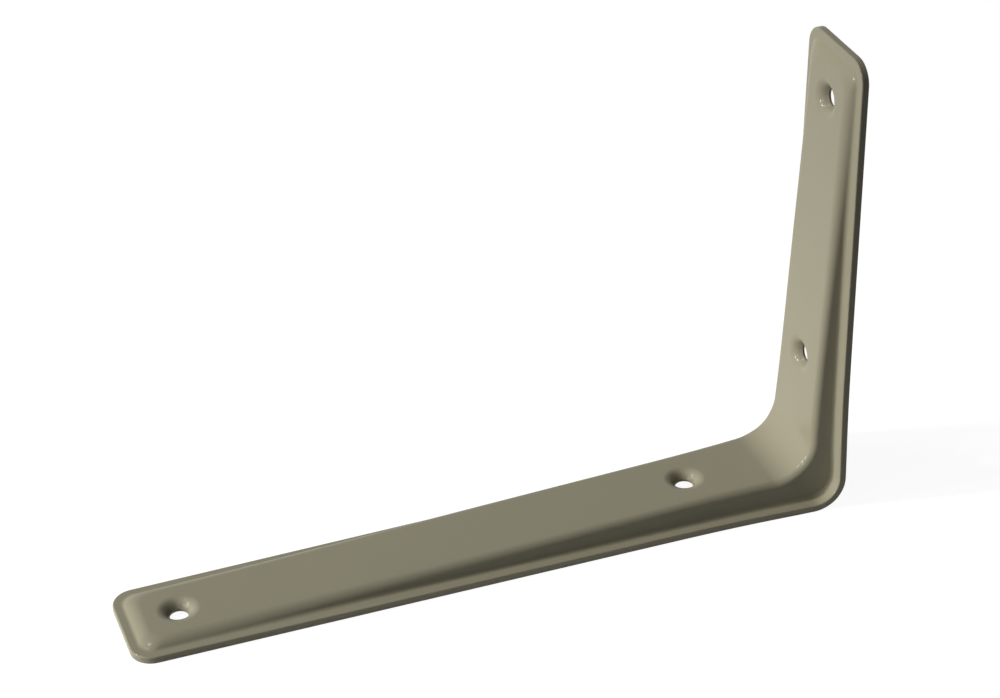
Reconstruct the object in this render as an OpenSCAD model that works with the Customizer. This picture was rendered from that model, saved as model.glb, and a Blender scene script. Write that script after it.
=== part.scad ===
// Angle bracket pressed from one piece of sheet steel.
// The long arm lies flat on its rim along X, and the short arm stands up at the +X end.
// A hollow rib runs along the middle of both arms and is highest at the heel.
// The origin is the centre of the footprint, on the plane that the rim rests on. Sizes are in millimetres.

/* [Arms] */
// Length of the long arm, from the short arm's outer plane to the tip
long_arm = 150; // [110:1:220]
// Length of the short arm, from the long arm's outer plane to the tip
short_arm = 100; // [85:1:160]
// Width over the rims at the tips
tip_w = 22.5; // [21:0.1:28]
// Width over the rims at the heel, without the swelling
heel_w = 25; // [22:0.1:32]
// Half width that the press adds at the heel
heel_swell = 1; // [0:0.1:2]
// Distance along the rim over which the swelling dies out
heel_swell_run = 17; // [10:1:30]
// Corner radius of the outline at the tips
tip_corner_r = 4.5; // [3:0.1:6]

/* [Sheet] */
// Thickness of the sheet
sheet_t = 1.5; // [1:0.1:2]
// Rounding of the outline's upper edge
edge_r = 0.3; // [0.1:0.1:0.8]

/* [Heel] */
// Bend radius of the rim's outer face
heel_out_r = 6.8; // [4:0.1:10]
// Radius of the rib's top in the inner corner
heel_in_r = 8.5; // [6:0.1:12]

/* [Rib] */
// Flat rim at the heel, between the outline's upper edge and the foot of the rib's wall
rim_heel_w = 1.75; // [0.8:0.05:2.2]
// Flat rim at the tips
rim_tip_w = 1.2; // [0.8:0.05:2.2]
// Height of the rib over the rim, where the two outer planes meet
rib_heel_h = 5.3; // [4:0.1:7]
// Height of the rib over the rim at the tips
rib_tip_h = 1.15; // [0.8:0.05:2.5]
// Steepest slope of the rib's wall
wall_angle = 82; // [60:1:84]
// Shortest straight stretch of the wall, between its two curves
wall_flat = 0.2; // [0.1:0.1:0.6]
// Radius of the wall's hollow foot at the heel
foot_heel_r = 1.1; // [0.8:0.1:2.4]
// Radius of the wall's hollow foot at the tips
foot_tip_r = 1; // [0.4:0.1:2]
// Radius of the wall's rounded shoulder at the heel
shoulder_heel_r = 1.6; // [1.6:0.1:4]
// Radius of the wall's rounded shoulder at the tips
shoulder_tip_r = 4; // [2.2:0.1:5]
// How late along the arm the shoulder turns softer: 1 is evenly, more is nearer the tip
shoulder_ease = 4; // [1:0.5:6]
// Smallest corner radius of the rib's plan at the tips
rib_corner_r = 3.2; // [1:0.1:3.6]

/* [Screw holes] */
// Diameter of the screw holes
hole_d = 3.7; // [3:0.1:4.6]
// Distance of the outer screw hole from the tip of its arm
hole_from_tip = 11.5; // [10.5:0.5:16]
// Distance of the inner screw hole from the other arm's outer plane
hole_from_heel = 30.5; // [28:0.5:40]
// Depth of the countersink, from the rib's top to the hole's rim
sink_depth = 1.75; // [1:0.05:2]
// Diameter at which the countersink's cone would meet the rib's top
sink_d = 5.9; // [5.6:0.1:8.5]
// Radius of the soft lip round the countersink
sink_lip_r = 2.6; // [0.8:0.1:3]
// Depth to which the countersink is pressed out under the sheet
boss_depth = 0.75; // [0.1:0.05:0.9]
// Diameter of the pressed-out boss at its face
boss_d = 6.2; // [5.6:0.1:7]
// Diameter of the pressed-out boss where it leaves the sheet
boss_root_d = 9.2; // [7.6:0.1:9.6]

/* [Hidden] */
paint = [0.52, 0.5, 0.42];
// Steps of the curves and of the runs along the arms
edge_steps = 3;
foot_steps = 4;
shoulder_steps = 6;
corner_steps = 6;
bend_steps = 20;
arm_steps = [12, 8];
lip_steps = 6;
// Crowding of the arms' steps towards the heel
arm_grading = 1.6;
round_fn = 64;
// Height over the sheet's underside at which the boss's slope starts
boss_root_up = 0.1;
// Overshoot of a cut past the surface that it opens
cut_over = 0.5;
// Slope at which the countersink's lip crosses the rib's top
lip_start = 6;
// Least radius of the sheet's inner side at the rib's shoulder
inner_least_r = 0.05;

// Both arms as lists: 0 is the long one, 1 the short one
arm_len = [long_arm, short_arm];
fall = [for (l = arm_len) (rib_heel_h - rib_tip_h) / l];
tilt = [for (f = fall) atan(f)];
rib_top = sheet_t + rib_heel_h;
heel_x = long_arm / 2;

// Length of the outline from the middle of the bend to a tip
half_bend = heel_out_r * PI / 4;
arm_run = [for (l = arm_len) l - heel_out_r + half_bend];

// Centre of the rib's inner bend, in the profile plane with the outer planes meeting at [0, 0]
top_c = [for (a = tilt) rib_top + heel_in_r / cos(a)];
bend_det = 1 - fall[0] * fall[1];
bend_c = [(top_c[0] * fall[1] - top_c[1]) / bend_det, (top_c[0] - top_c[1] * fall[0]) / bend_det];
out_c = [-heel_out_r, heel_out_r];

// Directions of the bend's stations, square to the long arm's rib top first and to the short arm's last
ray_angles = [for (j = [0:bend_steps]) -90 + tilt[0] + (90 - tilt[0] - tilt[1]) * j / bend_steps];
function ray(a) = [cos(a), sin(a)];

// Point where a ray from the bend's centre meets the rim's face that lies off inside the outer one
function rim_hit(a, off) =
    let (d = ray(a), low = bend_c + d * (off - bend_c[1]) / d[1], side = bend_c + d * (-off - bend_c[0]) / d[0])
    low[0] <= out_c[0] ? low
    : side[1] >= out_c[1] ? side
    : let (q = bend_c - out_c, b = d * q, r = heel_out_r - off) bend_c + d * (sqrt(b * b - q * q + r * r) - b);

// The four curves of the bend, [x, z] for each station: rim outside and inside, rib top and its underside
rim_out = [for (a = ray_angles) rim_hit(a, 0)];
rim_in = [for (a = ray_angles) rim_hit(a, sheet_t)];
rib_out = [for (a = ray_angles) bend_c + heel_in_r * ray(a)];
rib_in = [for (a = ray_angles) bend_c + (heel_in_r + sheet_t) * ray(a)];

// Distance along the outline from the middle of the bend, for a point of rim_out
function out_run(p) =
    p[0] <= out_c[0] ? out_c[0] - p[0] + half_bend
    : p[1] >= out_c[1] ? p[1] - out_c[1] + half_bend
    : heel_out_r * PI / 180 * abs(atan2(p[1] - out_c[1], p[0] - out_c[0]) + 45);

// Half the width of the outline at a run along an arm
function half_w(arm, run) =
    tip_w / 2 + (heel_w - tip_w) / 2 * (1 - run / arm_run[arm]) + heel_swell * exp(-pow(run / heel_swell_run, 2));

// Height of the rib over the rim at a distance u along an arm, on the sheet's upper and lower faces
function rib_h(arm, u, under = 0) = rib_heel_h - fall[arm] * u - under * sheet_t * (1 / cos(tilt[arm]) - 1);

function between(a, b, k) = a + (b - a) * k;

// The rib's wall over the rim as [inset, rise, slope], from its foot to the flat top
function wall_curve(h, foot_r, shoulder_r) =
    let (
        rr = foot_r + shoulder_r,
        soft = acos(max(-1, (rr - h) / norm([rr, wall_flat]))) - atan2(wall_flat, rr),
        slope = min(wall_angle, soft),
        flat = (h - rr * (1 - cos(slope))) / sin(slope),
        run = foot_r * sin(slope) + flat * cos(slope),
        rise = foot_r * (1 - cos(slope)) + flat * sin(slope)
    )
    concat(
        [for (i = [0:foot_steps]) let (a = slope * i / foot_steps) [foot_r * sin(a), foot_r * (1 - cos(a)), a]],
        [for (i = [0:shoulder_steps])
            let (a = slope * (1 - i / shoulder_steps))
            [run + shoulder_r * (sin(slope) - sin(a)), rise + shoulder_r * (cos(a) - cos(slope)), a]]
    );

// Half a cross-section as [under, inset, level], from the outline's lower edge over the sheet and back under it
function section(h, k) =
    let (
        shoulder_r = max(between(shoulder_heel_r, shoulder_tip_r, pow(k, shoulder_ease)), sheet_t + inner_least_r),
        wall = wall_curve(h, between(foot_heel_r, foot_tip_r, k), shoulder_r),
        foot = edge_r + between(rim_heel_w, rim_tip_w, k),
        last = len(wall) - 1
    )
    concat(
        [[0, 0, -sheet_t]],
        [for (i = [0:edge_steps]) let (a = 90 * i / edge_steps) [0, edge_r * (1 - cos(a)), -edge_r * (1 - sin(a))]],
        [for (p = wall) [0, foot + p[0], p[1]]],
        [for (i = [last:-1:0])
            let (p = wall[i]) [1, foot + p[0] + sheet_t * sin(p[2]), p[1] + sheet_t * (1 - cos(p[2]))]]
    );
over_count = 1 + (edge_steps + 1) + (foot_steps + 1) + (shoulder_steps + 1);
point_count = over_count + (foot_steps + 1) + (shoulder_steps + 1);

// Point at u along an arm, y across it and v over its outer plane
function on_arm(arm, u, y, v) = arm == 0 ? [heel_x - u, y, v] : [heel_x - v, y, u];

function corner_r(inset) = max(tip_corner_r - inset, rib_corner_r);

// Distance along an arm of a station of the bend, on the curve that a point's level picks out
function bend_u(arm, p) = arm == 0 ? -p[0] : p[1];
function bend_start(arm, under, level, h) =
    let (j = arm == 0 ? 0 : bend_steps)
    under ? between(bend_u(arm, rim_out[j]), bend_u(arm, rib_in[j]), level / h)
    : level < 0 ? between(bend_u(arm, rim_in[j]), bend_u(arm, rim_out[j]), -level / sheet_t)
    : between(bend_u(arm, rim_in[j]), bend_u(arm, rib_out[j]), level / h);

// Place of a section's point on an arm: its level follows the rib's height at u, so that the rib's top stays flat
function arm_point(arm, u, y, s, h) =
    on_arm(arm, u, y, s[0] ? s[2] * rib_h(arm, u, 1) / h : sheet_t + (s[2] < 0 ? s[2] : s[2] * rib_h(arm, u) / h));

function arm_station(arm, side, k) =
    let (
        j = arm == 0 ? 0 : bend_steps,
        u0 = between(bend_u(arm, rim_out[j]), arm_len[arm] - tip_corner_r, k),
        h = rib_h(arm, u0)
    )
    [for (s = section(h, u0 / arm_len[arm]))
        let (u = between(bend_start(arm, s[0], s[2], h), arm_len[arm] - s[1] - corner_r(s[1]), k))
        arm_point(arm, u, side * (half_w(arm, u - heel_out_r + half_bend) - s[1]), s, h)];

function bend_station(side, j) =
    let (
        h = norm(rib_out[j] - rim_in[j]),
        arm = j < bend_steps / 2 ? 0 : 1,
        run = out_run(rim_out[j]),
        k = bend_u(arm, rim_out[j]) / arm_len[arm]
    )
    [for (s = section(h, k))
        let (p = s[0] ? between(rim_out[j], rib_in[j], s[2] / h)
            : s[2] < 0 ? between(rim_in[j], rim_out[j], -s[2] / sheet_t)
            : between(rim_in[j], rib_out[j], s[2] / h))
        [heel_x + p[0], side * (half_w(arm, run) - s[1]), p[1]]];

// Station on a tip's corner, turned by a from the side of the arm towards its end
function tip_station(arm, side, a) =
    let (h = rib_h(arm, arm_len[arm] - tip_corner_r))
    [for (s = section(h, 1))
        let (
            r = corner_r(s[1]),
            uc = arm_len[arm] - s[1] - r,
            yc = half_w(arm, uc - heel_out_r + half_bend) - s[1] - r
        )
        arm_point(arm, uc + r * sin(a), side * (yc + r * cos(a)), s, h)];

// The stations round the outline, from the long arm's tip along one side to the short arm's and back
arm_ks = [for (steps = arm_steps) [for (i = [1:steps]) pow(i / steps, arm_grading)]];
turns = [for (i = [1:corner_steps]) 90 * i / corner_steps];
function back(list) = [for (i = [len(list) - 1:-1:0]) list[i]];
function tip_stations(arm) = concat(
    [for (a = turns) tip_station(arm, -1, a)],
    [for (a = back(turns)) tip_station(arm, 1, a)]
);
function side_stations(side) = concat(
    [for (k = back(arm_ks[0])) arm_station(0, side, k)],
    [for (j = [0:bend_steps]) bend_station(side, j)],
    [for (k = arm_ks[1]) arm_station(1, side, k)]
);
tip_count = 2 * corner_steps;
side_count = arm_steps[0] + bend_steps + 1 + arm_steps[1];
station_count = 2 * (side_count + tip_count);
stations = concat(side_stations(-1), tip_stations(1), back(side_stations(1)), back(tip_stations(0)));

function at(i, row) = (i % station_count) * point_count + row;
// Facets of the sheet's top and of its underside across the rib, in strips with a fan at each tip
function across(row) =
    let (opposite = 2 * side_count + tip_count - 1)
    concat(
        [for (i = [0:side_count - 2])
            each [[at(i, row), at(opposite - i, row), at(i + 1, row)],
                [at(i + 1, row), at(opposite - i, row), at(opposite - i - 1, row)]]],
        [for (i = [0:tip_count - 1])
            [at(side_count - 1, row), at(side_count + i + 1, row), at(side_count + i, row)]],
        [for (i = [0:tip_count - 1])
            [at(opposite, row), at(opposite + i + 2, row), at(opposite + i + 1, row)]]
    );
function turned(facets) = [for (f = facets) back(f)];

// The pressed sheet as one closed skin
module sheet_form() {
    skin = [for (i = [0:station_count - 1], row = [0:point_count - 1])
        if (row != over_count - 1)
            let (next = (row + 1) % point_count)
            each [[at(i, row), at(i, next), at(i + 1, next)], [at(i, row), at(i + 1, next), at(i + 1, row)]]];
    polyhedron(
        points = [for (s = stations) each s],
        faces = concat(skin, across(over_count - 1), turned(across(over_count))),
        convexity = 8
    );
}

// Children stand on the rib's top at a screw hole, with +Z away from the arm's outer plane
module at_hole(arm, u) {
    translate(on_arm(arm, u, 0, sheet_t + rib_h(arm, u)))
        rotate([0, arm == 0 ? 0 : -90, 0])
            children();
}

// Children are also square to the rib's sloping top, with +X across the arm
module on_rib_top(arm, u) {
    at_hole(arm, u)
        rotate([0, arm == 0 ? -tilt[0] : tilt[1], 0])
            rotate([0, 0, 90])
                children();
}

// What the press removes above the sheet: a cone with a soft lip
module countersink() {
    slope = atan(sink_depth / ((sink_d - hole_d) / 2));
    // The lip's arc touches the cone and crosses the rib's top at a small angle
    lip_z = -sink_lip_r * cos(lip_start);
    tangent_z = lip_z + sink_lip_r * cos(slope);
    tangent_r = sink_d / 2 + tangent_z / tan(slope);
    lip_c = tangent_r + sink_lip_r * sin(slope);
    lip = [for (i = [0:lip_steps])
        let (a = slope * (1 - i / lip_steps)) [lip_c - sink_lip_r * sin(a), lip_z + sink_lip_r * cos(a)]];
    // The cone runs on into the screw hole, so that the two cuts cross cleanly
    inner_r = hole_d / 2 - cut_over;
    inner_z = -sink_depth - cut_over * tan(slope);
    rotate_extrude($fn = round_fn)
        polygon(concat([[0, inner_z], [inner_r, inner_z]], lip, [[lip_c, cut_over], [0, cut_over]]));
}

// What the press adds below the sheet, rooted in its middle
module boss() {
    rotate_extrude($fn = round_fn)
        polygon([
            [0, -sheet_t / 2],
            [boss_root_d / 2, -sheet_t / 2],
            [boss_root_d / 2, -sheet_t + boss_root_up],
            [boss_d / 2, -sheet_t - boss_depth],
            [0, -sheet_t - boss_depth]
        ]);
}

module screw_hole(arm, u) {
    deep = sheet_t + boss_depth + cut_over;
    on_rib_top(arm, u) countersink();
    at_hole(arm, u) translate([0, 0, -deep]) cylinder(d = hole_d, h = deep + cut_over, $fn = round_fn);
}

module bracket() {
    color(paint)
        difference() {
            union() {
                sheet_form();
                for (arm = [0, 1], u = [hole_from_heel, arm_len[arm] - hole_from_tip]) on_rib_top(arm, u) boss();
            }
            for (arm = [0, 1], u = [hole_from_heel, arm_len[arm] - hole_from_tip]) screw_hole(arm, u);
        }
}

bracket();
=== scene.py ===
"""The looks of a pressed sheet-steel angle bracket: its sheet, its paint, and a plain stage.

Lengths are in metres. The long arm lies along X with the heel at +X, and the short arm stands up along Z.
"""

import math

import bmesh
import bpy
from bpy.props import FloatProperty, FloatVectorProperty, PointerProperty
from mathutils import Matrix, Vector


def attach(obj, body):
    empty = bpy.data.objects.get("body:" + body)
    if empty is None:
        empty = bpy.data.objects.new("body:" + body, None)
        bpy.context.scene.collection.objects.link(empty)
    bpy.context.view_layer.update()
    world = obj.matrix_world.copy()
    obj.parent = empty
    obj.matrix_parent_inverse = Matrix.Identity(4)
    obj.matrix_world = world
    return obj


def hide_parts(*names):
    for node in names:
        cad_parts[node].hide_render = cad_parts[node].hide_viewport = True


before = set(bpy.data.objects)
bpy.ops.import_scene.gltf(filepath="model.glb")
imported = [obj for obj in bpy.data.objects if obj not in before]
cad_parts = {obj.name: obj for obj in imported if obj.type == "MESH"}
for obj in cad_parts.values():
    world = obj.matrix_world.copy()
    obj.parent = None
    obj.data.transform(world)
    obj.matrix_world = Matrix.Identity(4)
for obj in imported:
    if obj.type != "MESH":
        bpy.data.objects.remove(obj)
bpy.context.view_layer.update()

bl_info = {
    "name": "Angle bracket",
    "version": (1, 0, 0),
    "blender": (4, 5, 0),
    "location": "3D View > Sidebar > Bracket",
    "description": "Models a pressed and painted sheet-steel angle bracket on a plain stage",
    "category": "Object",
}

NODE = "bracket"
WHITE = (1.0, 1.0, 1.0, 1.0)
# The two arms, as indexes
LONG, SHORT = 0, 1
# The two faces of the sheet, as indexes
OVER, UNDER = 0, 1


def length(name, description, default):
    """A length that the sidebar shows in the scene's unit."""
    return FloatProperty(
        name=name, description=description, default=default, min=0.0, unit="LENGTH", precision=5
    )


def amount(name, description, default, least=0.0, most=1.0):
    """A plain number between two bounds."""
    return FloatProperty(name=name, description=description, default=default, min=least, max=most)


def angle(name, description, degrees):
    """An angle, given in degrees."""
    return FloatProperty(
        name=name, description=description, default=math.radians(degrees), subtype="ANGLE"
    )


def vector(name, description, default, **limits):
    """Three values along the frame's axes."""
    return FloatVectorProperty(
        name=name, description=description, default=default, subtype="XYZ", size=3, **limits
    )


class BracketSizes(bpy.types.PropertyGroup):
    """Real sizes of the pressed sheet."""

    long_arm: length("Long arm", "From the short arm's outer plane to the tip", 0.150)
    short_arm: length("Short arm", "From the long arm's outer plane to the tip", 0.100)
    tip_width: length("Tip width", "Width over the rims at the tips", 0.0225)
    heel_width: length("Heel width", "Width over the rims at the heel, without the swelling", 0.025)
    heel_swell: length("Heel swelling", "Half width that the press adds at the heel", 0.001)
    heel_swell_run: length("Swelling's run", "Distance along the rim over which the swelling dies out", 0.017)
    tip_corner: length("Tip corners", "Corner radius of the outline at the tips", 0.0045)
    sheet: length("Sheet", "Thickness of the sheet", 0.0015)
    upper_edge: length("Upper edge", "Rounding of the outline's upper edge", 0.0003)
    lower_edge: length("Lower edge", "Rounding of the outline's lower edge", 0.00012)
    heel_outer: length("Heel, outside", "Bend radius of the rim's outer face", 0.0068)
    heel_inner: length("Heel, inside", "Radius of the rib's top in the inner corner", 0.0085)
    rim_heel: length("Rim at the heel", "Flat rim from the upper edge to the rib's wall", 0.00175)
    rim_tip: length("Rim at the tips", "Flat rim from the upper edge to the rib's wall", 0.0012)
    rib_heel: length("Rib at the heel", "Height of the rib over the rim, where the outer planes meet", 0.0053)
    rib_tip: length("Rib at the tips", "Height of the rib over the rim at the tips", 0.00115)
    wall_flat: length("Wall's straight", "Shortest straight stretch between the wall's curves", 0.0002)
    wall_angle: angle("Wall angle", "Steepest slope of the rib's wall", 82.0)
    foot_heel: length("Foot at the heel", "Radius of the wall's hollow foot at the heel", 0.0011)
    foot_tip: length("Foot at the tips", "Radius of the wall's hollow foot at the tips", 0.0010)
    shoulder_heel: length("Shoulder at the heel", "Radius of the wall's shoulder at the heel", 0.0016)
    shoulder_tip: length("Shoulder at the tips", "Radius of the wall's shoulder at the tips", 0.0040)
    shoulder_ease: amount(
        "Shoulder's change",
        "How late along the arm the shoulder turns softer: 1 is evenly, more is nearer the tip",
        4.0,
        least=1.0,
        most=10.0,
    )
    rib_corner: length("Rib's corners", "Smallest corner radius of the rib's plan at the tips", 0.0032)
    hole: length("Screw hole", "Diameter of the screw holes", 0.0037)
    hole_from_tip: length("Hole from tip", "Distance of the outer hole from its arm's tip", 0.0115)
    hole_from_heel: length("Hole from heel", "From the inner hole to the other arm's outer plane", 0.0305)
    hole_rim: length("Hole's rims", "Rounding of the hole's upper and lower rim", 0.00012)
    sink_depth: length("Countersink's depth", "From the rib's top to the hole's rim", 0.00175)
    sink: length("Countersink", "Diameter at which the cone would meet the rib's top", 0.0059)
    sink_lip: length("Countersink's lip", "Radius of the soft lip round the countersink", 0.0026)
    boss_depth: length("Boss", "How far the countersink is pressed out under the sheet", 0.00075)
    boss: length("Boss's face", "Diameter of the pressed-out boss at its face", 0.0062)
    boss_root: length("Boss's root", "Diameter of the boss where it leaves the sheet", 0.0092)


class BracketPaint(bpy.types.PropertyGroup):
    """Colour and gloss of the paint."""

    colour: FloatVectorProperty(
        name="Paint",
        description="Colour of the enamel",
        default=(0.279, 0.258, 0.18),
        subtype="COLOR",
        size=3,
        min=0.0,
        max=1.0,
    )
    roughness: amount("Roughness", "Roughness of the enamel's body", 0.42)
    sheen: amount("Sheen", "Strength of the body's own reflection", 0.05)
    coat: amount("Lacquer", "Weight of the glossier skin on the enamel", 0.25)
    coat_roughness: amount("Lacquer's roughness", "Roughness of the enamel's skin", 0.15)
    peel: length("Orange peel", "Depth of the enamel's fine waviness", 0.000004)
    peel_grain: amount("Peel's grain", "Waves of the orange peel in a metre", 900.0, most=5000.0)
    mottle: amount("Mottling", "Share by which the paint's tone varies", 0.05)
    smear: amount("Smears", "Amount by which the roughness varies", 0.12)
    cloud_grain: amount("Clouds' grain", "Clouds of tone and roughness in a metre", 70.0, most=5000.0)
    cloud_detail: amount("Clouds' detail", "Finer layers in the clouds", 3.0, most=15.0)


class StageSettings(bpy.types.PropertyGroup):
    """Camera, floor and lamps."""

    camera_place: vector("Camera", "Place of the camera", (-0.14149, -0.39723, 0.31780))
    camera_aim: vector("Aim", "Direction of the camera", (0.29027, 0.79083, -0.53883))
    camera_roll: angle("Roll", "Turn of the camera about its own axis", -0.82)
    camera_lens: amount("Lens", "Focal length in millimetres", 93.25, least=10.0, most=500.0)
    camera_frame: amount("Frame", "Width of the camera's frame in millimetres", 36.0, least=1.0, most=100.0)
    floor_half: length("Floor's size", "From the floor's middle to its sides", 3.0)
    # Brightness of the painted pool of light on the paper, which lights the object from below
    pool_brightness: amount("Floor", "Brightness of the paper that lights the object from below", 0.7)
    # Distances at which the painted pool of light has faded to dark
    pool_reach: vector(
        "Floor's reach", "Distances at which that paper's brightness has died out", (0.25, 0.2, 0.2), min=0.01
    )
    floor_shade: amount("Shadow", "Share of the floor's white that its shadows can take away", 0.2)
    floor_lit: amount("Floor's light", "Brightness that the lamps give a white floor at least", 0.3)
    lamp_aim: vector("Lit point", "Where the lamps point", (0.06, 0.0, 0.0))
    lamp_reach: length("Lamp distance", "Distance of the lamps from the lit point", 1.2)
    room: amount("Room", "Strength of the light from all round", 0.0)


def between(heel, tip, share):
    """The value at a share of the way from the heel's to the tip's."""
    return heel + (tip - heel) * share


def arc(start, stop, steps):
    """Evenly spaced angles, with both ends."""
    return [start + (stop - start) * i / steps for i in range(steps + 1)]


class Pressing:
    """The pressed sheet's form, worked out from its sizes.

    In the profile plane the outer planes meet at 0, 0, and a place on an arm is its distance from there. A
    station is the points of half a cross-section, from the rib's underside round the sheet's edge to its top.
    """

    # Fineness of the curves: steps of a section's curves, and stations along the outline
    EDGE = 5
    FOOT = 8
    SHOULDER = 12
    CORNER = 10
    END = 8
    BEND = 44
    RUN = (64, 44)
    # How much closer the stations stand towards the heel
    GRADING = 1.35
    # Width of the guard rows beside a curve, which keep the flats flat in the shading
    GUARD = 0.00008
    TOP_GUARD = 0.0004
    LIP_GUARD = 0.0003
    # Least radius of the sheet's inner side at the rib's shoulder
    INNER = 0.00005
    # Steps of a countersink's lip and of the hole's rims, and of their turn
    LIP = 14
    RIM = 4
    TURN = 96

    def __init__(self, size):
        self.size = size
        self.length = (size.long_arm, size.short_arm)
        self.fall = [(size.rib_heel - size.rib_tip) / arm for arm in self.length]
        self.tilt = [math.atan(fall) for fall in self.fall]
        self.heel_x = size.long_arm / 2
        # Half the length of the rim's outer bend, and the outline's length from the bend's middle to each tip
        self.half_bend = size.heel_outer * math.pi / 4
        self.run = [arm - size.heel_outer + self.half_bend for arm in self.length]
        # Centre of the rib's inner bend, and that of the rim's outer one
        level = [size.sheet + size.rib_heel + size.heel_inner / math.cos(tilt) for tilt in self.tilt]
        span = 1 - self.fall[LONG] * self.fall[SHORT]
        self.centre = Vector(
            (
                (level[LONG] * self.fall[SHORT] - level[SHORT]) / span,
                (level[LONG] - level[SHORT] * self.fall[LONG]) / span,
            )
        )
        self.outer_centre = Vector((-size.heel_outer, size.heel_outer))
        self.bend = [self.bend_ray(j / self.BEND) for j in range(self.BEND + 1)]

    def bend_ray(self, share):
        """Where a ray of the bend meets the rim's outer and inner faces, the rib's top and its underside."""
        turn = -math.pi / 2 + self.tilt[LONG] + (math.pi / 2 - sum(self.tilt)) * share
        ray = Vector((math.cos(turn), math.sin(turn)))
        inner = self.size.heel_inner
        sheet = self.size.sheet
        rim = [self.rim_hit(ray, inside) for inside in (0.0, sheet)]
        return *rim, self.centre + ray * inner, self.centre + ray * (inner + sheet)

    def rim_hit(self, ray, inside):
        """Where a ray from the bend's centre meets the rim's face that lies this far inside the outer one."""
        low = self.centre + ray * ((inside - self.centre.y) / ray.y)
        if low.x <= self.outer_centre.x:
            return low
        side = self.centre + ray * ((-inside - self.centre.x) / ray.x)
        if side.y >= self.outer_centre.y:
            return side
        gap = self.centre - self.outer_centre
        along = ray.dot(gap)
        radius = self.size.heel_outer - inside
        return self.centre + ray * (math.sqrt(along * along - gap.dot(gap) + radius * radius) - along)

    def outline_run(self, point):
        """Distance along the outline from the middle of the bend."""
        middle = self.outer_centre
        if point.x <= middle.x:
            return middle.x - point.x + self.half_bend
        if point.y >= middle.y:
            return point.y - middle.y + self.half_bend
        return self.size.heel_outer * abs(math.atan2(point.y - middle.y, point.x - middle.x) + math.pi / 4)

    def half_width(self, arm, run):
        """Half the sheet's width at a distance along the outline from the middle of the bend."""
        size = self.size
        taper = (size.heel_width - size.tip_width) / 2 * (1 - run / self.run[arm])
        return size.tip_width / 2 + taper + size.heel_swell * math.exp(-((run / size.heel_swell_run) ** 2))

    def arm_half_width(self, arm, place):
        """Half the sheet's width at a place on an arm's straight stretch."""
        return self.half_width(arm, place - self.size.heel_outer + self.half_bend)

    def rib_height(self, arm, place, face=OVER):
        """Height of the rib over the rim at a place on an arm."""
        skew = self.size.sheet * (1 / math.cos(self.tilt[arm]) - 1)
        return self.size.rib_heel - self.fall[arm] * place - (skew if face == UNDER else 0.0)

    def wall(self, height, foot, shoulder):
        """The rib's wall over the rim as (inset, rise, slope), from its foot to the flat top."""
        both = foot + shoulder
        # A low wall is less steep: its curves and its shortest straight stretch then just reach the height
        least = self.size.wall_flat
        low_slope = math.acos(max(-1.0, (both - height) / math.hypot(both, least))) - math.atan2(least, both)
        steep = min(self.size.wall_angle, low_slope)
        flat = (height - both * (1 - math.cos(steep))) / math.sin(steep)
        run = foot * math.sin(steep) + flat * math.cos(steep)
        rise = foot * (1 - math.cos(steep)) + flat * math.sin(steep)
        points = []
        for slope in arc(0.0, steep, self.FOOT):
            points.append((foot * math.sin(slope), foot * (1 - math.cos(slope)), slope))
        for slope in arc(steep, 0.0, self.SHOULDER):
            inset = run + shoulder * (math.sin(steep) - math.sin(slope))
            points.append((inset, rise + shoulder * (math.cos(slope) - math.cos(steep)), slope))
        points.append((points[-1][0] + self.TOP_GUARD, height, 0.0))
        return points

    def section(self, height, share):
        """Half a cross-section as (face, inset, level), at a share of the way from the heel to the tip."""
        size = self.size
        foot = between(size.foot_heel, size.foot_tip, share)
        shoulder = between(size.shoulder_heel, size.shoulder_tip, share**size.shoulder_ease)
        wall = self.wall(height, foot, max(shoulder, size.sheet + self.INNER))
        start = size.upper_edge + between(size.rim_heel, size.rim_tip, share)
        points = []
        for inset, rise, slope in reversed(wall):
            under = start + inset + size.sheet * math.sin(slope)
            points.append((UNDER, under, rise + size.sheet * (1 - math.cos(slope))))
        points.append((UNDER, start - self.GUARD, 0.0))
        edge = size.lower_edge
        points.append((OVER, edge + self.GUARD, -size.sheet))
        for turn in arc(0.0, math.pi / 2, self.EDGE):
            points.append((OVER, edge * (1 - math.sin(turn)), edge * (1 - math.cos(turn)) - size.sheet))
        points.append((OVER, 0.0, edge + self.GUARD - size.sheet))
        edge = size.upper_edge
        points.append((OVER, 0.0, -edge - self.GUARD))
        for turn in arc(0.0, math.pi / 2, self.EDGE):
            points.append((OVER, edge * (1 - math.cos(turn)), -edge * (1 - math.sin(turn))))
        points.append((OVER, edge + self.GUARD, 0.0))
        points.append((OVER, start - self.GUARD, 0.0))
        points += [(OVER, start + inset, rise) for inset, rise, slope in wall]
        return points

    def on_arm(self, arm, place, y, level):
        """Point at a place on an arm, y across it and level over its outer plane."""
        if arm == LONG:
            return Vector((self.heel_x - place, y, level))
        return Vector((self.heel_x - level, y, place))

    def arm_point(self, arm, place, y, face, level, height):
        """A section's point on an arm, with its level scaled to the rib's height there."""
        if face == UNDER:
            return self.on_arm(arm, place, y, level * self.rib_height(arm, place, UNDER) / height)
        if level > 0:
            level *= self.rib_height(arm, place) / height
        return self.on_arm(arm, place, y, self.size.sheet + level)

    def corner_radius(self, inset):
        """Radius of a tip's corner at an inset from the outline."""
        return max(self.size.tip_corner - inset, self.size.rib_corner)

    def arm_place(self, arm, point):
        """Place on an arm of a point in the profile plane."""
        return -point.x if arm == LONG else point.y

    def ray_point(self, ray, face, level, height):
        """Point of a bend's ray at a section's level."""
        rim_out, rim_in, top, under = ray
        if face == UNDER:
            return rim_out.lerp(under, level / height)
        if level < 0:
            return rim_in.lerp(rim_out, -level / self.size.sheet)
        return rim_in.lerp(top, level / height)

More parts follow.
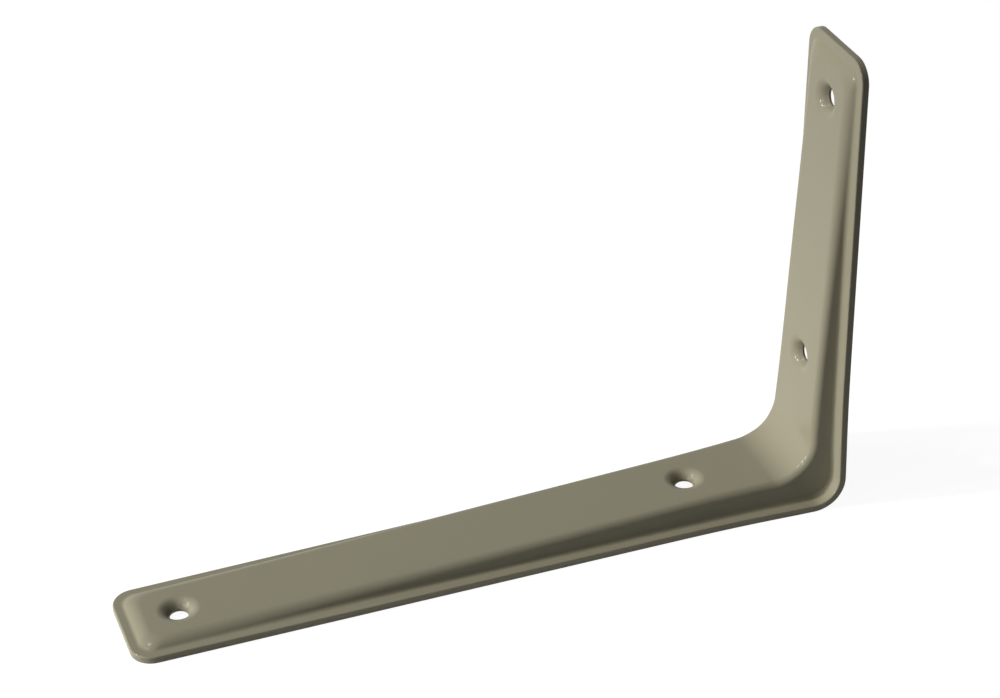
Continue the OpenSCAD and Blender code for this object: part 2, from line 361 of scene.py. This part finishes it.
    def arm_station(self, arm, side, share):
        """Station on an arm's side, at a share of the way from the bend to the tip's corner."""
        ray = self.bend[0 if arm == LONG else -1]
        middle = between(self.arm_place(arm, ray[0]), self.length[arm] - self.size.tip_corner, share)
        height = self.rib_height(arm, middle)
        station = []
        for face, inset, level in self.section(height, middle / self.length[arm]):
            start = self.arm_place(arm, self.ray_point(ray, face, level, height))
            stop = self.length[arm] - inset - self.corner_radius(inset)
            place = between(start, stop, share)
            y = self.arm_half_width(arm, place) - inset
            station.append(self.arm_point(arm, place, side * y, face, level, height))
        return station

    def bend_station(self, side, j):
        """Station on a ray of the bend."""
        ray = self.bend[j]
        height = (ray[2] - ray[1]).length
        arm = LONG if j < self.BEND / 2 else SHORT
        half = self.half_width(arm, self.outline_run(ray[0]))
        station = []
        for face, inset, level in self.section(height, self.arm_place(arm, ray[0]) / self.length[arm]):
            point = self.ray_point(ray, face, level, height)
            station.append(Vector((self.heel_x + point.x, side * (half - inset), point.y)))
        return station

    def tip_station(self, arm, turn, across):
        """Station on a tip: turned round a corner, and moved across the straight end from -1 to 1."""
        height = self.rib_height(arm, self.length[arm] - self.size.tip_corner)
        station = []
        for face, inset, level in self.section(height, 1.0):
            radius = self.corner_radius(inset)
            place = self.length[arm] - inset - radius
            middle = self.arm_half_width(arm, place) - inset - radius
            y = across * middle + math.copysign(radius * math.cos(turn), across)
            station.append(self.arm_point(arm, place + radius * math.sin(turn), y, face, level, height))
        return station

    def stations(self):
        """All stations, from the long arm's tip along the -Y side to the short arm's tip and back."""
        shares = [[(i / n) ** self.GRADING for i in range(1, n + 1)] for n in self.RUN]
        corner = arc(0.0, math.pi / 2, self.CORNER)[1:]

        def side(sign):
            return (
                [self.arm_station(LONG, sign, share) for share in reversed(shares[LONG])]
                + [self.bend_station(sign, j) for j in range(self.BEND + 1)]
                + [self.arm_station(SHORT, sign, share) for share in shares[SHORT]]
            )

        def tip(arm):
            return (
                [self.tip_station(arm, turn, -1) for turn in corner]
                + [self.tip_station(arm, math.pi / 2, 2 * i / self.END - 1) for i in range(1, self.END)]
                + [self.tip_station(arm, turn, 1) for turn in reversed(corner)]
            )

        return side(-1) + tip(SHORT) + side(1)[::-1] + tip(LONG)[::-1]

    def hole_places(self):
        """Each screw hole's arm, and its frame on the rib's top with Z square to the top."""
        size = self.size
        lean = (-self.tilt[LONG], self.tilt[SHORT] - math.pi / 2)
        places = []
        for arm in (LONG, SHORT):
            for place in (size.hole_from_heel, self.length[arm] - size.hole_from_tip):
                top = self.on_arm(arm, place, 0.0, size.sheet + self.rib_height(arm, place))
                places.append((arm, Matrix.Translation(top) @ Matrix.Rotation(lean[arm], 4, "Y")))
        return places

    def hole_profile(self):
        """Half section (radius, height) of a countersink, its hole and its boss, from the top inwards."""
        size = self.size
        bore = size.hole / 2
        slope = math.atan(size.sink_depth / ((size.sink - size.hole) / 2))
        # The lip's arc starts level on the rib's top and ends on the cone
        lip = size.sink / 2 + size.sink_lip * math.tan(slope / 2)
        points = [(lip + self.LIP_GUARD, 0.0)]
        for turn in arc(0.0, slope, self.LIP):
            points.append((lip - size.sink_lip * math.sin(turn), size.sink_lip * (math.cos(turn) - 1)))
        # The rim's rounding touches the cone and the bore
        rim = size.hole_rim
        high = rim * (1 - math.sin(slope)) * math.tan(slope) - rim * math.cos(slope) - size.sink_depth
        for turn in arc(slope, math.pi / 2, self.RIM):
            points.append((bore + rim * (1 - math.sin(turn)), high + rim * math.cos(turn)))
        low = -size.sheet - size.boss_depth
        for turn in arc(0.0, math.pi / 2, self.RIM):
            points.append((bore + rim * (1 - math.cos(turn)), low + rim * (1 - math.sin(turn))))
        points.append((size.boss / 2, low))
        points.append((size.boss_root / 2, -size.sheet))
        points.append((size.boss_root / 2 + self.LIP_GUARD, -size.sheet))
        return points


def bend_grid(bm, columns):
    """Bends a flat grid into a closed strip of one column for each station. Returns its vertices by place."""
    around, down = len(columns), len(columns[0])
    bmesh.ops.create_grid(bm, x_segments=around, y_segments=down - 1, size=1.0)
    grid = {}
    for v in bm.verts:
        grid[round((v.co.x + 1) / 2 * around), round((v.co.y + 1) / 2 * (down - 1))] = v
    seam = {grid[around, j]: grid[0, j] for j in range(down)}
    bmesh.ops.weld_verts(bm, targetmap=seam)
    for j in range(down):
        del grid[around, j]
    for (i, j), v in grid.items():
        v.co = columns[i][j]
    return grid


def chain(bm, vertices):
    """The edges that join these vertices in their order."""
    return [bm.edges.get(pair) for pair in zip(vertices, vertices[1:])]


def spin_profile(bm, profile, place, steps):
    """Turns a half section of (radius, height) round Z, and puts it in its place.

    Returns the edges of its ring over the sheet and of the one under it, as OVER and UNDER index them.
    """
    verts = [bm.verts.new((radius, 0.0, z)) for radius, z in profile]
    edges = [bm.edges.new(pair) for pair in zip(verts, verts[1:])]
    before = set(bm.verts) - set(verts)
    bmesh.ops.spin(
        bm,
        geom=verts + edges,
        cent=(0.0, 0.0, 0.0),
        axis=(0.0, 0.0, 1.0),
        angle=2 * math.pi,
        steps=steps,
        use_merge=True,
    )
    turned = [v for v in bm.verts if v not in before]
    border = [e for e in bm.edges if e.is_boundary and e.verts[0] not in before]
    mid_sheet = profile[-1][1] / 2
    over = [e for e in border if e.verts[0].co.z > mid_sheet]
    under = [e for e in border if e.verts[0].co.z < mid_sheet]
    bmesh.ops.transform(bm, matrix=place, verts=turned)
    return over, under


def pressed_sheet(sizes):
    """The bracket's sheet as one closed mesh."""
    form = Pressing(sizes)
    bm = bmesh.new()
    columns = form.stations()
    grid = bend_grid(bm, columns)
    profile = form.hole_profile()
    holes = [(arm, spin_profile(bm, profile, place, form.TURN)) for arm, place in form.hole_places()]
    along = sum(form.RUN) + form.BEND + 1
    tip = 2 * form.CORNER + form.END - 1
    bend_start = form.RUN[LONG]
    bend_stop = bend_start + form.BEND

    def across(i):
        """The station across the sheet from this one."""
        return 2 * along + tip - 1 - i

    arm_stations = {
        LONG: list(range(across(bend_start), len(columns))) + list(range(bend_start + 1)),
        SHORT: list(range(bend_stop, across(bend_stop) + 1)),
    }
    for face, row in ((UNDER, 0), (OVER, len(columns[0]) - 1)):
        bend = range(bend_start, bend_stop + 1)
        near_bend = chain(bm, [grid[i, row] for i in bend])
        far_bend = chain(bm, [grid[across(i), row] for i in bend])
        bmesh.ops.bridge_loops(bm, edges=near_bend + far_bend)
        for arm, stations in arm_stations.items():
            ring = [grid[i, row] for i in stations]
            edges = chain(bm, ring + ring[:1])
            for hole_arm, hole_rings in holes:
                if hole_arm == arm:
                    edges += hole_rings[face]
            bmesh.ops.triangle_fill(bm, use_beauty=True, use_dissolve=False, edges=edges)
    bmesh.ops.recalc_face_normals(bm, faces=bm.faces)
    for f in bm.faces:
        f.smooth = True
    return bm


def place_mesh(bm, name):
    """A new object at the origin with this mesh."""
    mesh = bpy.data.meshes.new(name)
    bm.to_mesh(mesh)
    bm.free()
    piece = bpy.data.objects.new(name, mesh)
    bpy.context.scene.collection.objects.link(piece)
    return piece


class Wire:
    """A shader socket that takes part in sums, each of which adds its Math node."""

    def __init__(self, graph, socket):
        self.graph = graph
        self.socket = socket

    def reckon(self, operation, first, second):
        return self.graph.add("ShaderNodeMath", {"operation": operation}, {0: first, 1: second})["Value"]

    def __add__(self, other):
        return self.reckon("ADD", self, other)

    def __radd__(self, other):
        return self.reckon("ADD", other, self)

    def __sub__(self, other):
        return self.reckon("SUBTRACT", self, other)

    def __rsub__(self, other):
        return self.reckon("SUBTRACT", other, self)

    def __mul__(self, other):
        return self.reckon("MULTIPLY", self, other)

    def __rmul__(self, other):
        return self.reckon("MULTIPLY", other, self)


class Outputs:
    """A node's outputs by name, as wires."""

    def __init__(self, graph, node):
        self.graph = graph
        self.node = node

    def __getitem__(self, name):
        return Wire(self.graph, self.node.outputs[name])


class Graph:
    """The nodes of a material or a world."""

    def __init__(self, owner):
        owner.use_nodes = True
        self.tree = owner.node_tree
        self.tree.nodes.clear()

    def add(self, kind, settings=None, sockets=None):
        """A node of this kind, with its settings and the values or wires of its sockets."""
        node = self.tree.nodes.new(kind)
        for name, value in (settings or {}).items():
            setattr(node, name, value)
        for name, value in (sockets or {}).items():
            if isinstance(value, Wire):
                self.tree.links.new(value.socket, node.inputs[name])
            else:
                node.inputs[name].default_value = value
        return Outputs(self, node)


def enamel(paint):
    """The bracket's semi-gloss enamel, with its fine orange peel and faint clouds of tone and gloss."""
    material = bpy.data.materials.new("enamel")
    graph = Graph(material)
    spot = graph.add("ShaderNodeTexCoord")["Object"]
    peel = graph.add("ShaderNodeTexNoise", None, {"Vector": spot, "Scale": paint.peel_grain})["Fac"]
    bump = graph.add(
        "ShaderNodeBump", None, {"Height": peel * paint.peel, "Strength": 1.0, "Distance": 1.0}
    )
    cloud = graph.add(
        "ShaderNodeTexNoise", None, {"Vector": spot, "Scale": paint.cloud_grain, "Detail": paint.cloud_detail}
    )
    uneven = cloud["Fac"] - 0.5
    tone = {0: list(paint.colour), "Scale": 1.0 + uneven * paint.mottle}
    colour = graph.add("ShaderNodeVectorMath", {"operation": "SCALE"}, tone)
    shader = graph.add(
        "ShaderNodeBsdfPrincipled",
        None,
        {
            "Base Color": colour["Vector"],
            "Roughness": paint.roughness + uneven * paint.smear,
            "Specular IOR Level": paint.sheen,
            "Coat Weight": paint.coat,
            "Coat Roughness": paint.coat_roughness,
            "Normal": bump["Normal"],
        },
    )
    graph.add("ShaderNodeOutputMaterial", None, {"Surface": shader["BSDF"]})
    return material


def seen_plainly(graph):
    """1 for what the camera, the gloss and glass see, and 0 for the light that lands on the object."""
    path = graph.add("ShaderNodeLightPath")
    direct = path["Is Camera Ray"] + path["Is Glossy Ray"] + path["Is Transmission Ray"]
    return graph.add("ShaderNodeClamp", None, {"Value": direct})["Result"]


def paper(stage):
    """The floor: seen as white with the object's faint shadow, and a matt patch, a painted pool of light that
    fades out at its reach, which lights the object.
    """
    material = bpy.data.materials.new("paper")
    graph = Graph(material)
    spot = graph.add("ShaderNodeTexCoord")["Object"]
    # The matt patch is a painted pool of light: bright under the object, and fading to dark at the pool's
    # reach
    reach = [1 / distance for distance in stage.pool_reach]
    patch = graph.add("ShaderNodeMapping", None, {"Vector": spot, "Scale": reach})["Vector"]
    painted_pool = graph.add("ShaderNodeTexGradient", {"gradient_type": "SPHERICAL"}, {"Vector": patch})["Fac"]
    matt = graph.add("ShaderNodeBsdfDiffuse", None, {"Color": painted_pool * stage.pool_brightness})["BSDF"]
    shade = stage.floor_shade
    shaded = graph.add("ShaderNodeBsdfDiffuse", None, {"Color": (shade, shade, shade, 1.0)})["BSDF"]
    # What the lamps add to the shaded paper is taken off the white's own strength
    strength = 1.0 - shade * stage.floor_lit
    white = graph.add("ShaderNodeEmission", None, {"Color": WHITE, "Strength": strength})["Emission"]
    seen = graph.add("ShaderNodeAddShader", None, {0: shaded, 1: white})["Shader"]
    surface = graph.add("ShaderNodeMixShader", None, {0: seen_plainly(graph), 1: matt, 2: seen})
    graph.add("ShaderNodeOutputMaterial", None, {"Surface": surface["Shader"]})
    return material


class BRACKET_OT_sheet(bpy.types.Operator):
    """Model the pressed sheet and paint it"""

    bl_idname = "bracket.sheet"
    bl_label = "Pressed sheet"

    def execute(self, context):
        piece = place_mesh(pressed_sheet(context.scene.bracket_sizes), "pressed_sheet")
        piece.data.materials.append(enamel(context.scene.bracket_paint))
        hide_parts(NODE)
        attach(piece, "root")
        return {"FINISHED"}


class BRACKET_OT_stage(bpy.types.Operator):
    """Set up the floor, the lamps and the camera"""

    bl_idname = "bracket.stage"
    bl_label = "Stage"

    # Each lamp's name, its direction from +X, its height and its beam as angles in degrees, its width in
    # metres and its power in watts
    LAMPS = (
        ("lamp_beam", 167.0, 24.0, 24.0, 0.1, 0.138),
        ("lamp_low_beam", 176.0, 10.0, 24.0, 0.1, 0.09),
        ("lamp_left", 165.0, 38.0, 180.0, 0.08, 3.3),
        ("lamp_front_left", 198.0, 24.0, 180.0, 0.15, 1.8),
        ("lamp_high", 150.0, 60.0, 180.0, 0.15, 1.65),
        ("lamp_front", 250.0, 38.0, 180.0, 0.15, 0.46),
    )

    def execute(self, context):
        scene = context.scene
        self.set_camera(scene)
        self.lay_floor(scene)
        for lamp in self.LAMPS:
            self.add_lamp(scene, *lamp)
        self.light_room(scene)
        scene.view_settings.view_transform = "Standard"
        # The light tree takes the narrow beams for weak lamps, which leaves their light grainy
        scene.cycles.use_light_tree = False
        return {"FINISHED"}

    def set_camera(self, scene):
        stage = scene.bracket_stage
        data = bpy.data.cameras.new("camera")
        data.sensor_width = stage.camera_frame
        data.lens = stage.camera_lens
        camera = bpy.data.objects.new("camera", data)
        turn = Vector(stage.camera_aim).to_track_quat("-Z", "Y").to_matrix().to_4x4()
        roll = Matrix.Rotation(stage.camera_roll, 4, "Z")
        camera.matrix_world = Matrix.Translation(stage.camera_place) @ turn @ roll
        scene.collection.objects.link(camera)
        scene.camera = camera

    def lay_floor(self, scene):
        stage = scene.bracket_stage
        bm = bmesh.new()
        bmesh.ops.create_grid(bm, x_segments=1, y_segments=1, size=stage.floor_half)
        floor = place_mesh(bm, "floor")
        floor.data.materials.append(paper(stage))

    def add_lamp(self, scene, name, turn, height, beam, width, power):
        stage = scene.bracket_stage
        data = bpy.data.lights.new(name, "AREA")
        data.shape = "DISK"
        data.size = width
        data.spread = math.radians(beam)
        data.energy = power
        lamp = bpy.data.objects.new(name, data)
        away = Matrix.Rotation(math.radians(turn), 3, "Z") @ Matrix.Rotation(-math.radians(height), 3, "Y")
        away = away @ Vector((1.0, 0.0, 0.0))
        lamp.location = Vector(stage.lamp_aim) + away * stage.lamp_reach
        lamp.rotation_euler = (-away).to_track_quat("-Z", "Y").to_euler()
        scene.collection.objects.link(lamp)

    def light_room(self, scene):
        world = bpy.data.worlds.new("room")
        scene.world = world
        graph = Graph(world)
        light, white = [
            graph.add("ShaderNodeBackground", None, {"Color": WHITE, "Strength": strength})["Background"]
            for strength in (scene.bracket_stage.room, 1.0)
        ]
        room = graph.add("ShaderNodeMixShader", None, {0: seen_plainly(graph), 1: light, 2: white})
        graph.add("ShaderNodeOutputWorld", None, {"Surface": room["Shader"]})


class BRACKET_PT_panel(bpy.types.Panel):
    """The bracket's sizes, paint and stage"""

    bl_idname = "BRACKET_PT_panel"
    bl_label = "Angle bracket"
    bl_space_type = "VIEW_3D"
    bl_region_type = "UI"
    bl_category = "Bracket"

    def draw(self, context):
        for group in (context.scene.bracket_sizes, context.scene.bracket_paint, context.scene.bracket_stage):
            box = self.layout.box()
            for name in group.__annotations__:
                box.prop(group, name)
        for operator in OPERATORS:
            self.layout.operator(operator.bl_idname)


OPERATORS = (BRACKET_OT_sheet, BRACKET_OT_stage)
CLASSES = (BracketSizes, BracketPaint, StageSettings, *OPERATORS, BRACKET_PT_panel)


def register():
    for cls in CLASSES:
        bpy.utils.register_class(cls)
    bpy.types.Scene.bracket_sizes = PointerProperty(type=BracketSizes)
    bpy.types.Scene.bracket_paint = PointerProperty(type=BracketPaint)
    bpy.types.Scene.bracket_stage = PointerProperty(type=StageSettings)


def unregister():
    del bpy.types.Scene.bracket_stage
    del bpy.types.Scene.bracket_paint
    del bpy.types.Scene.bracket_sizes
    for cls in reversed(CLASSES):
        bpy.utils.unregister_class(cls)


def main():
    register()
    bpy.ops.bracket.sheet()
    bpy.ops.bracket.stage()


if __name__ == "__main__":
    main()
